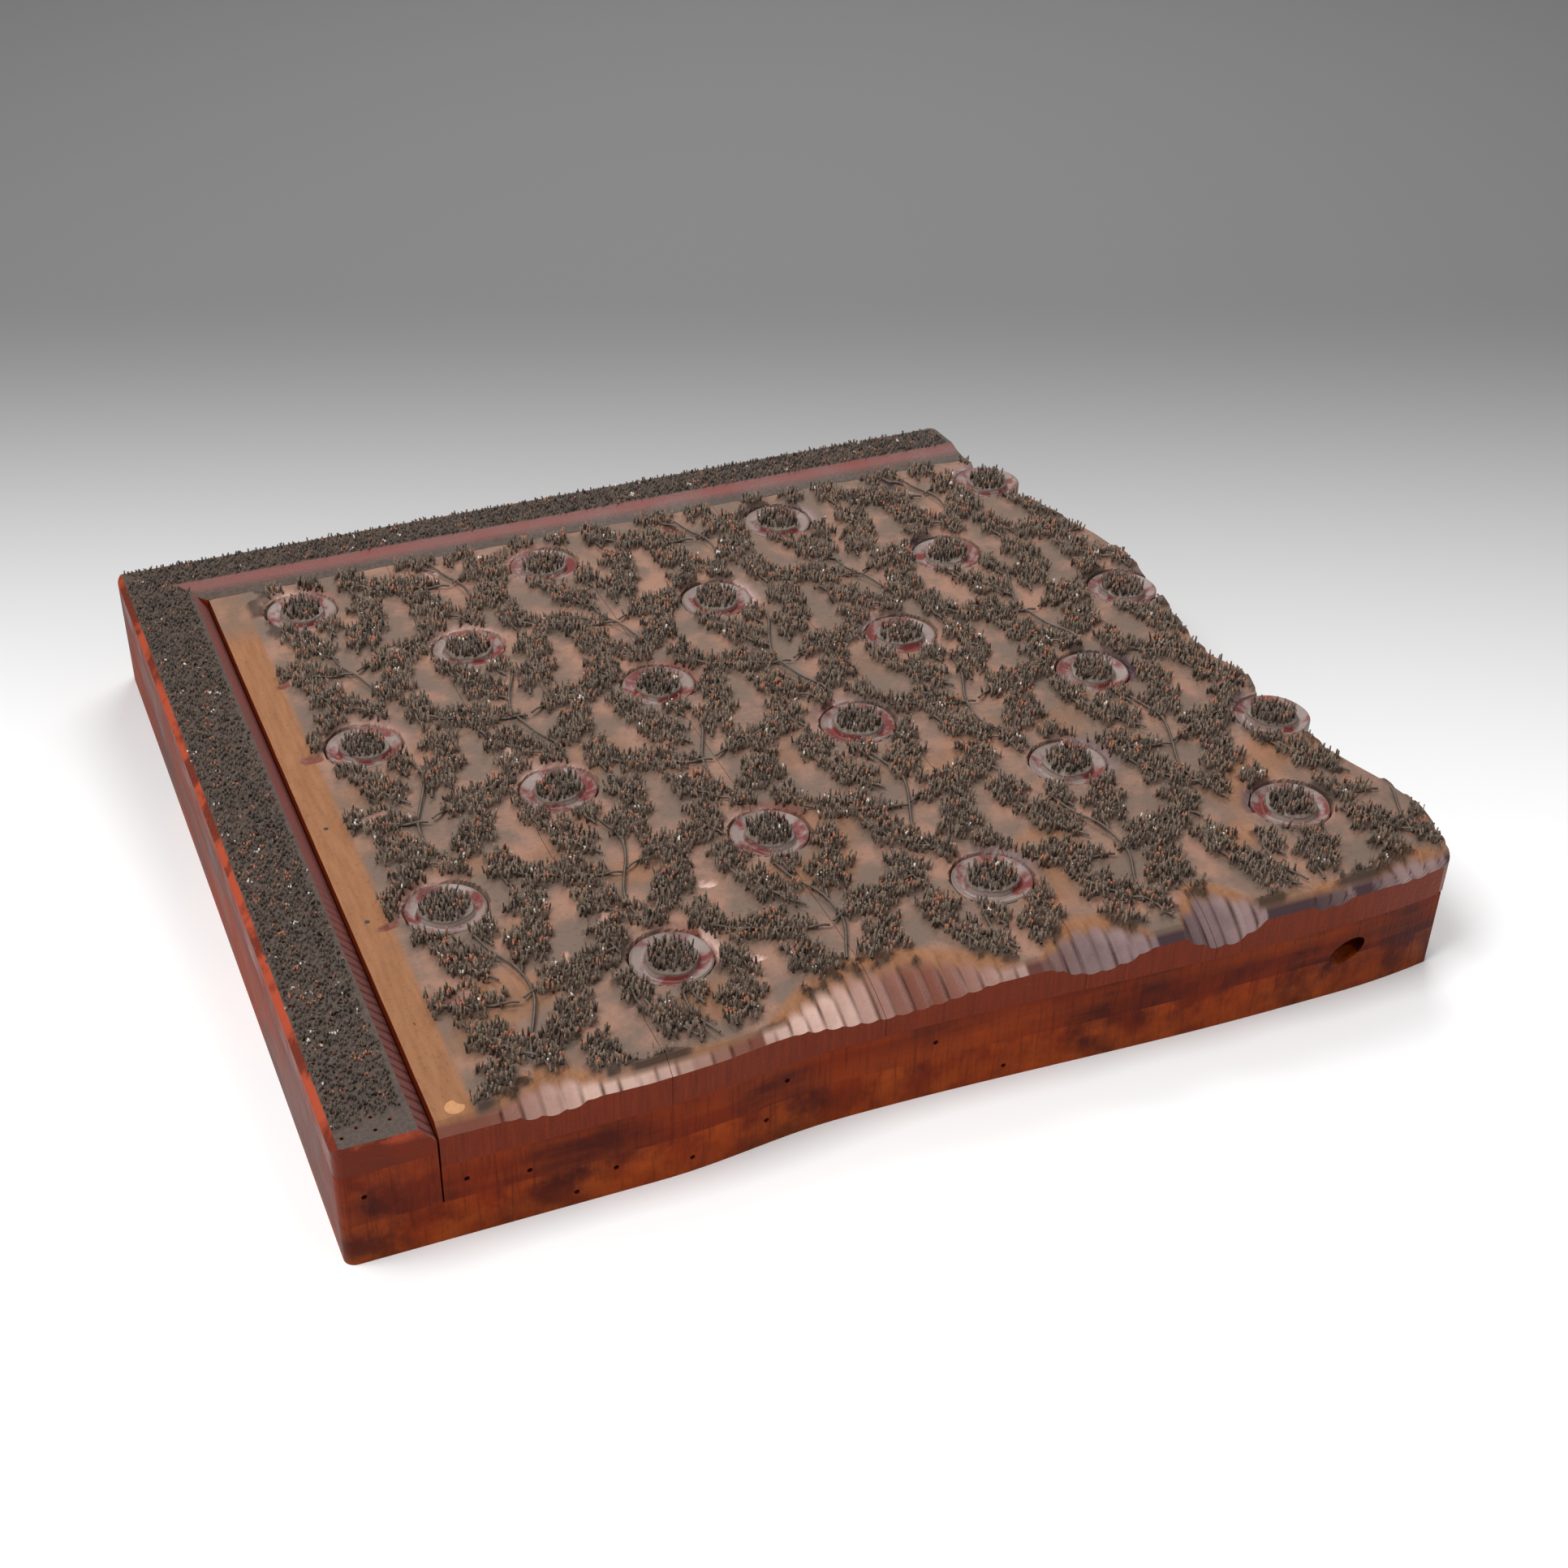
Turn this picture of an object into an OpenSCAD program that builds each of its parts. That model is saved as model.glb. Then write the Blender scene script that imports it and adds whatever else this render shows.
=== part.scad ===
// Wallpaper printing block: a laminated wooden slab with two raised border rails,
// turned plugs in bored sockets, and a pattern made of driven wire pins and metal strips.
// The block lies on its back with the printing face up.

/* [Pattern] */
// Distance between plugs in a row, the width of one repeat
plug_pitch_x = 146; // [138:0.5:156]
// Distance between rows of plugs, half the height of one repeat
plug_pitch_y = 71.3; // [66:0.1:76]
// Distance from the left side to the first plug of the back row
plug_left = 93; // [88:0.5:100]
// Distance from the back edge to the back row of plugs
plug_back = 73; // [69:0.5:82]
// Distance from the last plug of a row, before its drift, to the widest lobe
plug_right = 17; // [10:0.5:30]
// Distance from the front row of plugs to the front edge
plug_front = 69.5; // [60:0.5:80]

/* [Layers] */
// Thickness of the back boards
back_t = 22; // [18:0.5:30]
// Thickness of the cross-grain core boards
core_t = 20; // [16:0.5:30]
// Thickness of the face boards
face_t = 20.5; // [17:0.5:30]
// Height of the pin tips above the ground of the face
pin_proud = 6.5; // [5.5:0.1:9]

/* [Outline] */
// Depth of the long dent in the front edge
dent_depth = 7; // [0:0.5:12]
// Distance from the left side to the deepest point of the dent
dent_x = 228; // [180:1:280]
// Width of the steep left half of the dent
dent_rise = 90; // [40:1:130]
// Width of the gentle right half of the dent
dent_fall = 220; // [120:1:230]
// Width over which the front edge curves back to the right corner
corner_run = 68; // [30:1:90]
// How far the front edge curves back at the right corner
corner_cut = 6; // [0:0.5:12]
// How far the right edge lies inside the full width at the front, lobes apart
waist_in = 9.6; // [4:0.2:16]
// How much narrower the slab is at the back than at the front
waist_taper = 33; // [10:1:45]
// Rounding of the two back corners in plan
back_corner_r = 8; // [2:0.5:10]
// Rounding of the front left corner in plan
front_corner_r = 5; // [1:0.5:10]

/* [Boards] */
// Width of the front core board
core_front_w = 168; // [120:1:200]
// Width of the middle core board
core_mid_w = 166; // [120:1:180]
// Width of the left back board
back_left_w = 184; // [140:1:220]
// Width of the middle back board
back_mid_w = 182; // [140:1:220]
// Length of the finger grips cut into the back
grip_l = 120; // [90:1:150]
// Width of the finger grips
grip_w = 34; // [28:1:44]
// Depth of the finger grips
grip_depth = 15; // [10:0.5:17]
// Distance from each side of the slab to the middle of its grip
grip_in = 62; // [50:1:75]

/* [Rails] */
// Width of both border rails at the foot
rail_w = 43; // [38:0.5:52]
// Thickness of the rails
rail_t = 16; // [13:0.5:19]
// Height of the pin tips above the rails
rail_pin_proud = 3; // [1.5:0.1:5]
// Width of the inner bevel of the left rail
bevel_w = 7; // [3:0.5:10]
// Depth of the inner bevel of the left rail
bevel_h = 9; // [4:0.5:11]
// Width of the hollow worked along the inner edge of the back rail
cove_w = 17; // [10:0.5:20]
// Worn outer edge of the rails
arris = 3.2; // [1:0.1:5]
// Open crack between the left rail and the face
crack = 0.8; // [0.4:0.1:2]

/* [Plugs] */
// Radius of the plugs
plug_r = 19; // [16:0.25:21]
// Clearance of a plug in its socket
plug_fit = 0.15; // [0.05:0.05:0.4]
// Radius of the raised island of a plug
island_r = 13; // [11.5:0.25:14]
// Depth of the sunk ring round the island
ring_depth = 3.5; // [2:0.25:6]
// Width of the flat lip at the edge of a plug
plug_lip = 1; // [0.5:0.25:2]
// Depth of the lip below the ground
lip_depth = 1; // [0.5:0.25:2]
// Radius of the filling peg
peg_r = 4.2; // [3:0.1:6]
// Length of the filling peg
peg_l = 12; // [8:0.5:15]
// Distance of the filling peg from the left rail
peg_in = 11; // [8:0.5:15]
// Distance of the filling peg from the front edge
peg_y = 11; // [9:0.5:16]

/* [Pins] */
// Radius of the pin wire
pin_r = 0.8; // [0.6:0.05:1]
// Clearance of a pin in its hole
pin_fit = 0.05; // [0.02:0.01:0.1]
// Depth to which the pins are driven
pin_drive = 8; // [6:0.5:10]
// Distance between pins on the rails
rail_pitch = 8; // [7:0.25:12]
// Distance between pins on a plug
plug_pin_pitch = 5; // [4:0.1:5.4]
// Distance between pins in the leaves
leaf_pitch = 7.5; // [7:0.25:12]
// Bare margin inside the edge of a rail
rail_margin = 6; // [4:0.5:8]
// Bare margin between the left rail and the pattern
field_margin = 18; // [14:0.5:24]
// Bare margin between the pattern and the outer edges
edge_margin = 4; // [3:0.5:8]
// Thickness of the stem strips
strip_t = 0.8; // [0.5:0.1:1.2]
// Radius to which the stem strips are bent
strip_r = 70; // [50:1:110]
// Angle that each stem strip spans
strip_turn = 38; // [20:1:44]

/* [Edge work] */
// Radius of the gouge that cut the flutes in the front top edge
gouge_r = 8; // [6:0.25:12]
// Distance between the flutes
flute_pitch = 8.2; // [7:0.1:10]
// Radius of the brads
brad_r = 1.2; // [0.9:0.05:1.6]
// Length of the brads
brad_l = 12; // [8:0.5:14]
// How deep the front brads are punched in
brad_sink = 1.5; // [0.5:0.25:3]
// Radius of the slanting hole drilled into the front edge
side_hole_r = 6; // [4:0.25:7]
// Length of the slanting hole along its axis
side_hole_l = 42; // [30:1:60]
// Angle between the slanting hole and the front edge
side_hole_angle = 38; // [32:1:60]
// Distance from the right side to the mouth of the slanting hole
side_hole_in = 64; // [50:1:90]

/* [Hidden] */
PLUG_ROWS = 6;
FACE_BOARDS = 5;
// Plugs in each row, back row first, and in all
row_counts = [4, 3, 4, 3, 4, 3];
PLUGS = 21;

// The slab is as wide and deep as the pattern that it carries
block_w = plug_left + (row_counts[0] - 1) * plug_pitch_x + plug_right;
block_d = plug_back + (PLUG_ROWS - 1) * plug_pitch_y + plug_front;

// Heights of the layers
core_z = back_t;
face_z = core_z + core_t;
ground_z = face_z + face_t;
print_z = ground_z + pin_proud;
rail_z = print_z - rail_pin_proud;
seat_z = rail_z - rail_t;

// Joints between the face boards, from the left side
face_joints = [145, 247, 344, 410];
// Lobes of the right edge: distance from the front, reach and half width
lobes = [[318, 21, 120], [182, 6, 25], [52, waist_in, 60]];
// Scoops in the front top edge: middle, half width, reach back and drop
scoops = [[93, 26, 16, 7], [152, 34, 3.5, 3], [252, 62, 28, 9], [351, 28, 22, 11],
          [414, 21, 27, 13], [470, 12, 6, 7], [515, 21, 14, 4.5]];
// Hand-set shift of each plug along its row, back row first
plug_drift = [[-4, -10, -12, -20], [-3, -6, -10], [-6, 6, 0, -9],
              [0, 15, 5], [-5, 9, 24, -3], [5, 18, 34]];
// Leaves of one sprig: across and up from its middle, angle, length and width
leaves = [[-17, -27, 128, 36, 22], [17, -25, 52, 36, 22], [-27, 2, 160, 46, 24],
          [28, 4, 20, 46, 24], [-15, 29, 118, 36, 22], [16, 31, 64, 36, 22],
          [-50, -16, 100, 28, 20], [50, -14, 80, 28, 20], [-51, 19, 82, 28, 18],
          [51, 20, 98, 28, 18], [0, 47, 90, 22, 14], [0, -46, 90, 22, 14]];
// Brads in the margin: distance from the front edge
margin_brad_ys = [67, 143, 220, 310];
// Brads in the front edge: distance from the left side and height from mid-layer
cleat_brads = [[11, 1]];
core_brads = [[54, 0], [81, -5], [200, 1], [272, -1]];
back_brads = [[101, -4], [119, 4], [154, -3], [190, 3], [307, -4]];
front_holes = concat(
    [for (b = cleat_brads) [b[0], (core_z + seat_z) / 2 + b[1]]],
    [for (b = core_brads) [b[0], core_z + core_t / 2 + b[1]]],
    [for (b = back_brads) [b[0], back_t / 2 + b[1]]]
);
// Middle of the slanting hole in the front edge: from the left side, and above the back
side_hole_x = block_w - side_hole_in;
side_hole_z = core_z + 3;
side_hole_fall = 25;
// How far the middles of the sprigs lie right of half-way between two plugs
sprig_shift = 6;
// Least wood between a pin and a joint, plug or strip
pin_wall = 0.7;
// Length of a flute cut, longer than any scoop
flute_l = 60;
// Where the pinned pattern begins, right of the bare margin
margin_x = rail_w + field_margin;
// How far a cut runs past the face that it opens
over = 1;

// Front edge: a long dent, steep on its left, and a curve back at the right corner
function dent(x) =
    let (far = x < dent_x ? (dent_x - x) / dent_rise : (x - dent_x) / dent_fall)
    far < 1 ? dent_depth * (1 + cos(180 * far)) / 2 : 0;
function corner(x) = pow(max(0, x - (block_w - corner_run)) / corner_run, 2) * corner_cut;
function front_y(x) = dent(x) + corner(x);

// Right edge: a straight waist with lobes and the rims of the outermost plugs
function lobe(y, l) = abs(y - l[0]) < l[2] ? l[1] * pow(cos(90 * (y - l[0]) / l[2]), 2) : 0;
function waist(y) = block_w - waist_in - waist_taper * max(0, y - lobes[2][0]) / block_d;
function rim(y, c) =
    let (far = abs(y - c[1])) far < plug_r ? c[0] + sqrt(plug_r * plug_r - far * far) : 0;
function right_x(y) =
    max(concat([for (l = lobes) waist(y) + lobe(y, l)], [for (c = edge_plugs) rim(y, c)]));

// Plug centres row by row, alternate rows shifted by half a pitch
function row_y(j) = block_d - plug_back - j * plug_pitch_y;
function plug_at(j, i) =
    [plug_left + plug_pitch_x * (i + (j % 2) / 2) + plug_drift[j][i], row_y(j)];
plugs = [for (j = [0:PLUG_ROWS - 1]) for (i = [0:row_counts[j] - 1]) plug_at(j, i)];
edge_plugs = [plugs[3], plugs[17]];

// Points of a rounded corner of the outline
function arc(cx, cy, r, from) =
    [for (k = [0:6]) let (a = from + 15 * k) [cx + r * cos(a), cy + r * sin(a)]];

front_step = 8;
right_step = 4;
nose = 12;
right_end = block_d - back_corner_r;
back_x = right_x(right_end) - back_corner_r;
outline = concat(
    arc(front_corner_r, front_corner_r, front_corner_r, 180),
    [for (x = [2 * front_step:front_step:block_w - nose - 2]) [x, front_y(x)]],
    [[block_w - nose, front_y(block_w - nose)]],
    [for (y = [nose:right_step:right_end]) [right_x(y), y]],
    arc(back_x, right_end, back_corner_r, 0),
    arc(back_corner_r, right_end, back_corner_r, 90)
);

module slab(z0, z1) {
    translate([0, 0, z0]) linear_extrude(height = z1 - z0) polygon(outline);
}

module centred() {
    translate([-block_w / 2, -block_d / 2, 0]) children();
}

// One board of a layer: the slab between two cuts across X or Y
module board(x0, x1, y0, y1, z0, z1) {
    intersection() {
        slab(z0, z1);
        translate([x0, y0, z0 - 1]) cube([x1 - x0, y1 - y0, z1 - z0 + 2]);
    }
}

// Finger grip cut into the back: a slot with round ends
module grip(x) {
    run = grip_l - grip_w;
    for (s = [-1, 1])
        translate([x, block_d / 2 + s * run / 2, -1])
            cylinder(d = grip_w, h = grip_depth + 1, $fn = 48);
    translate([x - grip_w / 2, block_d / 2 - run / 2, -1]) cube([grip_w, run, grip_depth + 1]);
}

// The slanting hole comes in from the right and runs down to the left
module side_hole() {
    lead = 20;
    translate([side_hole_x, front_y(side_hole_x), side_hole_z]) rotate([0, -side_hole_fall, 0])
        rotate([0, 90, side_hole_angle]) translate([0, 0, -lead])
            cylinder(r = side_hole_r, h = side_hole_l + lead, $fn = 32);
}

module front_bores() {
    for (h = front_holes)
        translate([h[0], -1, h[1]]) rotate([-90, 0, 0])
            cylinder(r = brad_r + pin_fit, h = front_y(h[0]) + brad_sink + brad_l + 1, $fn = 16);
}

// Gouge flutes along the scoops of the front top edge, each one a slanting round cut
function scoop_reach(s, u) = 2 + s[2] * (1 - u * u);
function scoop_drop(s, u) = 1.5 + s[3] * (1 - u * u);
module flutes() {
    for (s = scoops) {
        n = max(1, round(2 * s[1] / flute_pitch) - 1);
        for (k = [1:n]) {
            u = 2 * k / (n + 1) - 1;
            x = s[0] + u * s[1];
            drop = scoop_drop(s, u);
            slope = atan2(drop, scoop_reach(s, u));
            translate([x, front_y(x), ground_z - drop]) rotate([slope - 90, 0, 0])
                translate([0, -gouge_r, -gouge_r]) cylinder(r = gouge_r, h = flute_l, $fn = 40);
        }
    }
}

// Where a pin or strip may stand: on the pattern, clear of scoops, plugs and joints
function scoop_back(x) =
    max([for (s = scoops) let (u = (x - s[0]) / s[1]) abs(u) < 1 ? scoop_reach(s, u) : 0]);
function on_pattern(p) =
    p[0] > margin_x && p[0] < right_x(p[1]) - edge_margin
    && p[1] > front_y(p[0]) + scoop_back(p[0]) + edge_margin
    && p[1] < block_d - rail_w - edge_margin / 2;
function clear_of_plugs(p) =
    min([for (c = plugs) norm(p - c)]) > plug_r + plug_fit + pin_r + pin_wall;
function clear_of_joints(x) = min([for (j = face_joints) abs(x - j)]) > pin_r + pin_fit + pin_wall;
function may_stand(p) = on_pattern(p) && clear_of_joints(p[0]) && clear_of_plugs(p);

// Middles of the sprigs, half-way between neighbours in each row of plugs
function sprig_at(j, i) =
    [plug_left + plug_pitch_x * (i - 0.5 + (abs(j) % 2) / 2) + sprig_shift, row_y(j)];
function nearest_sprig(p, j) =
    sprig_at(j, round((p[0] - sprig_at(j, 0)[0]) / plug_pitch_x));
function near_sprigs(p) =
    let (j = round((row_y(0) - p[1]) / plug_pitch_y)) [for (k = [j - 1:j + 1]) nearest_sprig(p, k)];

// A leaf covers a point that lies in its ellipse
function turned(p, a) = [p[0] * cos(a) - p[1] * sin(a), p[0] * sin(a) + p[1] * cos(a)];
function in_leaf(p, l) =
    let (q = turned(p - [l[0], l[1]], -l[2]))
    pow(2 * q[0] / l[3], 2) + pow(2 * q[1] / l[4], 2) < 1;
function leafy(p) =
    len([for (m = near_sprigs(p)) for (l = leaves) if (in_leaf(p - m, l)) 1]) > 0;

// Stem strips: one bent strip up the middle of each sprig
function strip_point(m, a) = m + [strip_r * (cos(a) - 1), strip_r * sin(a)];
function strip_stands(m) =
    len([for (a = [-strip_turn / 2, 0, strip_turn / 2]) if (!may_stand(strip_point(m, a))) 1]) == 0;
strips = [for (j = [0:PLUG_ROWS - 1]) for (i = [0:4])
    if (strip_stands(sprig_at(j, i))) sprig_at(j, i)];
function clear_of_strip(p, m) =
    abs(norm(p - m + [strip_r, 0]) - strip_r) > strip_t / 2 + pin_r + pin_fit + pin_wall
    || abs(p[1] - m[1]) > strip_r * sin(strip_turn / 2) + pin_r + pin_fit + pin_wall;
function clear_of_strips(p) = len([for (m = near_sprigs(p)) if (!clear_of_strip(p, m)) 1]) == 0;

// Pins of one face board, on a staggered grid wherever a leaf covers it
function board_x0(i) = i == 0 ? rail_w + crack : face_joints[i - 1];
function board_x1(i) = i == FACE_BOARDS - 1 ? block_w : face_joints[i];
function board_pins(i) =
    let (rise = leaf_pitch * sin(60))
    [for (r = [0:floor(block_d / rise)])
     for (k = [floor(board_x0(i) / leaf_pitch):floor(board_x1(i) / leaf_pitch)])
        let (p = [(k + (r % 2) / 2) * leaf_pitch, r * rise])
        if (p[0] > board_x0(i) && p[0] < board_x1(i)
            && may_stand(p) && clear_of_strips(p) && leafy(p)) p];

// Staggered rows of pins on the rails
rail_rise = rail_pitch * sin(60);
left_rows = floor((rail_w - bevel_w - 2 * rail_margin) / rail_rise);
left_rail_pins = [for (i = [0:left_rows])
    for (k = [0:floor((block_d - 2 * rail_margin) / rail_pitch) - 1])
        [rail_margin + i * rail_rise, rail_margin + (k + (i % 2) / 2) * rail_pitch]];
back_rows = floor((rail_w - cove_w - 2 * rail_margin) / rail_rise);
back_rail_pins = [for (i = [0:back_rows]) for (k = [0:floor(block_w / rail_pitch)])
    let (p = [rail_margin + (k + (i % 2) / 2) * rail_pitch, block_d - rail_margin - i * rail_rise])
    if (p[0] < right_x(p[1]) - rail_margin) p];
// The mitre runs from the outer corner at 45 degrees, and no pin stands on it
function on_left(p) = block_d - p[1] > p[0] + 2 * (pin_r + pin_wall);
function on_back(p) = block_d - p[1] < p[0] - 2 * (pin_r + pin_wall);

// Rings of pins on each plug
plug_pins = [for (c = plugs) for (r = [0:2]) for (k = [0:max(0, 6 * r - 1)])
    let (a = r == 0 ? 0 : 360 * k / (6 * r)) c + r * plug_pin_pitch * [cos(a), sin(a)]];

module pin_set(points, top, foot) {
    for (p = points) translate([p[0], p[1], foot]) cylinder(r = pin_r, h = top - foot, $fn = 16);
}

module pin_holes(points, top) {
    for (p = points)
        translate([p[0], p[1], top - pin_drive])
            cylinder(r = pin_r + pin_fit, h = pin_drive + 1, $fn = 16);
}

module strip(m, wall, z0, z1) {
    translate([m[0] - strip_r, m[1], z0]) rotate([0, 0, -strip_turn / 2])
        rotate_extrude(angle = strip_turn, $fn = 96)
            translate([strip_r - strip_t / 2 - wall, 0]) square([strip_t + 2 * wall, z1 - z0]);
}

module sockets() {
    for (c = plugs)
        translate([c[0], c[1], face_z - 1]) cylinder(r = plug_r + plug_fit, h = face_t + 2, $fn = 64);
}

module peg_hole() {
    translate([rail_w + peg_in, peg_y, ground_z - peg_l])
        cylinder(r = peg_r + plug_fit, h = peg_l + 1, $fn = 32);
}

module margin_bores() {
    for (y = margin_brad_ys)
        translate([rail_w + field_margin / 2, y, ground_z - brad_l])
            cylinder(r = brad_r + pin_fit, h = brad_l + 1, $fn = 16);
}

module face_board(i) {
    color("#8d7766") centred() difference() {
        board(board_x0(i), board_x1(i), -1, block_d + 1, face_z, ground_z);
        translate([0, block_d - rail_w, seat_z]) cube([block_w + 1, rail_w + 1, rail_t]);
        sockets();
        flutes();
        pin_holes(board_pins(i), ground_z);
        for (m = strips) strip(m, pin_fit, ground_z - pin_drive, ground_z + 1);
        front_bores();
        if (i == 0) {
            peg_hole();
            margin_bores();
        }
    }
}

module core_board(y0, y1) {
    color("#6d2e17") centred() difference() {
        board(rail_w + crack, block_w + 1, y0, y1, core_z, face_z);
        front_bores();
        side_hole();
    }
}

module back_board(x0, x1) {
    color("#7a3519") centred() difference() {
        board(x0, x1, -1, block_d + 1, 0, back_t);
        grip(grip_in);
        grip(block_w - waist_taper - grip_in);
        front_bores();
        side_hole();
    }
}

module left_cleat() {
    color("#5e2412") centred() difference() {
        board(-1, rail_w, -1, block_d + 1, core_z, seat_z);
        front_bores();
    }
}

// Rail sections, drawn with the inner foot at the origin and the outer side on the left
module left_section() {
    polygon([[-rail_w, 0], [0, 0], [0, rail_t - bevel_h], [-bevel_w, rail_t],
             [arris - rail_w, rail_t], [-rail_w, rail_t - arris]]);
}
// Height of the hollow above the ground at a distance from the foot
function cove_rise(t) = (rail_z - ground_z) * pow(t / cove_w, 2);
module back_section() {
    polygon(concat(
        [[-rail_w, 0], [0, 0]],
        [for (k = [0:8]) let (t = cove_w * k / 8) [-t, ground_z - seat_z + cove_rise(t)]],
        [[arris - rail_w, rail_t], [-rail_w, rail_t - arris]]
    ));
}

module left_rail() {
    color("#4a352c") centred() difference() {
        intersection() {
            translate([rail_w, 0, seat_z]) rotate([90, 0, 0]) translate([0, 0, -block_d - 1])
                linear_extrude(height = block_d + 2) left_section();
            slab(seat_z - 1, rail_z + 1);
        }
        mitre_waste(1);
        pin_holes([for (p = left_rail_pins) if (on_left(p)) p], rail_z);
    }
}

module back_rail() {
    color("#463129") centred() difference() {
        intersection() {
            translate([-1, block_d - rail_w, seat_z]) rotate([90, 0, 90])
                linear_extrude(height = block_w + 2) mirror([1, 0]) back_section();
            slab(seat_z - 1, rail_z + 1);
        }
        mitre_waste(-1);
        pin_holes([for (p = back_rail_pins) if (on_back(p)) p], rail_z);
    }
}

// What the mitre saw takes off either rail: the far side of a plane through the corner
module mitre_waste(side) {
    translate([0, block_d, seat_z - 1]) rotate([0, 0, -45])
        translate([-1, side > 0 ? 0 : -200, 0]) cube([200, 200, rail_t + 2]);
}

// A turned plug: lip, sunk ring and slightly crowned island
module plug(i) {
    c = plugs[i];
    color("#6f5548") centred() translate([c[0], c[1], face_z]) rotate_extrude($fn = 64)
        polygon([[0, 0], [plug_r, 0], [plug_r, face_t - lip_depth],
                 [plug_r - plug_lip, face_t - lip_depth],
                 [island_r + plug_lip, face_t - ring_depth], [island_r, face_t - ring_depth],
                 [island_r - plug_lip, face_t], [0, face_t]]);
}

module filling_peg() {
    color("#b9702a") centred() translate([rail_w + peg_in, peg_y, ground_z - peg_l])
        cylinder(r = peg_r, h = peg_l, $fn = 32);
}

module left_rail_pin_set() {
    color("#3a342c") centred()
        pin_set([for (p = left_rail_pins) if (on_left(p)) p], print_z, rail_z - pin_drive);
}

module back_rail_pin_set() {
    color("#3a342c") centred()
        pin_set([for (p = back_rail_pins) if (on_back(p)) p], print_z, rail_z - pin_drive);
}

module plug_pin_set() {
    color("#3a342c") centred() pin_set(plug_pins, print_z, ground_z - pin_drive);
}

module leaf_pin_set(i) {
    color("#332e28") centred() pin_set(board_pins(i), print_z, ground_z - pin_drive);
}

module stem_strips() {
    color("#55504a") centred()
        for (m = strips) strip(m, 0, ground_z - pin_drive, print_z);
}

module margin_brads() {
    color("#2e2621") centred() for (y = margin_brad_ys)
        translate([rail_w + field_margin / 2, y, ground_z - brad_l])
            cylinder(r = brad_r, h = brad_l, $fn = 16);
}

module front_brads() {
    color("#3b3532") centred() for (h = front_holes)
        translate([h[0], front_y(h[0]) + brad_sink, h[1]]) rotate([-90, 0, 0])
            cylinder(r = brad_r, h = brad_l, $fn = 16);
}

back_cuts = [-1, back_left_w, back_left_w + back_mid_w, block_w + 1];
core_cuts = [-1, core_front_w, core_front_w + core_mid_w, block_d + 1];

back_board(back_cuts[0], back_cuts[1]);  // back_board_left
back_board(back_cuts[1], back_cuts[2]);  // back_board_middle
back_board(back_cuts[2], back_cuts[3]);  // back_board_right
core_board(core_cuts[0], core_cuts[1]);  // core_board_front
core_board(core_cuts[1], core_cuts[2]);  // core_board_middle
core_board(core_cuts[2], core_cuts[3]);  // core_board_back
for (i = [0:4]) {
    face_board(i);
    leaf_pin_set(i);
}
left_cleat();
left_rail();
back_rail();
for (i = [0:PLUGS - 1]) {
    plug(i);
}
filling_peg();
left_rail_pin_set();  // left_rail_pins
back_rail_pin_set();  // back_rail_pins
plug_pin_set();  // plug_pins
stem_strips();
margin_brads();
front_brads();
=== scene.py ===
"""Wallpaper printing block: its carved and pinned face, and the finish of every board.

New pieces stand in for the face boards, plugs, pins and stem strips of the CAD part. Its other boards keep
their shape and get a finish. Sizes are millimetres from the front left corner of the block, with z from its
underside, and place_points moves them to the part's own frame.
"""
import math

import bpy
import numpy as np
from mathutils import Matrix, Vector


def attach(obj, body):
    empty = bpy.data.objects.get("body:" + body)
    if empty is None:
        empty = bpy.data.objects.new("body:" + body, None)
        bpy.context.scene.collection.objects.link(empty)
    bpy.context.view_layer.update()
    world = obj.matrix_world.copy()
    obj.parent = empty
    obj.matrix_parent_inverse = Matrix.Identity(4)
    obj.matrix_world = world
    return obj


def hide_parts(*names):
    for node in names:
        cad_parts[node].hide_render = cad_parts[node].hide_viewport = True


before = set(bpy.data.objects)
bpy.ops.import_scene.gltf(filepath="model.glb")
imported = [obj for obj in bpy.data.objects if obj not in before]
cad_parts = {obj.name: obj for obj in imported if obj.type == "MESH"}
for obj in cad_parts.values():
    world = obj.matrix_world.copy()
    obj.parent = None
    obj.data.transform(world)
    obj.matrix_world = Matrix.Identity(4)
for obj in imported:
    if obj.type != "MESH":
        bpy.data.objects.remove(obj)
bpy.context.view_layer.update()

# Layers and borders, the same as in the CAD source
MM = 0.001
BLOCK_W = 548.0
BLOCK_D = 499.0
FACE_Z = 42.0
SEAT_Z = 50.0
GROUND_Z = 62.5
RAIL_Z = 66.0
PRINT_Z = 69.0
RAIL_W = 43.0
COVE_W = 17.0
CRACK = 0.8
FACE_JOINTS = [145, 247, 344, 410]
BOARD_GAP = 0.12
FRONT_CORNER_R = 5.0
BACK_CORNER_R = 8.0

# The front edge: a shallow hollow, and a right end that is cut back
DENT_X = 228
DENT_RISE = 90
DENT_FALL = 220
DENT_DEPTH = 7
END_RUN = 68
END_CUT = 6

# The right edge: it draws in towards the back, with lobes given by middle, reach and half width
WAIST_IN = 9.6
WAIST_FROM = 52
WAIST_TAPER = 33
LOBES = [(318, 21, 120), (182, 6, 25), (52, 9.6, 60)]

# Gouge scoops of the front edge: middle, half width, and how much further back and down they reach there
SCOOPS = [(93, 26, 16, 7), (152, 34, 3.5, 3), (252, 62, 28, 9), (351, 28, 22, 11),
          (414, 21, 27, 13), (470, 12, 6, 7), (515, 21, 14, 4.5)]
SCOOP_END_REACH = 2
SCOOP_END_DROP = 1.5
FLUTE_PITCH = 8.2
FLUTE_LINE = 0.9
FLUTE_SPLAY = 0.10
GOUGE_R = 8

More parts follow.
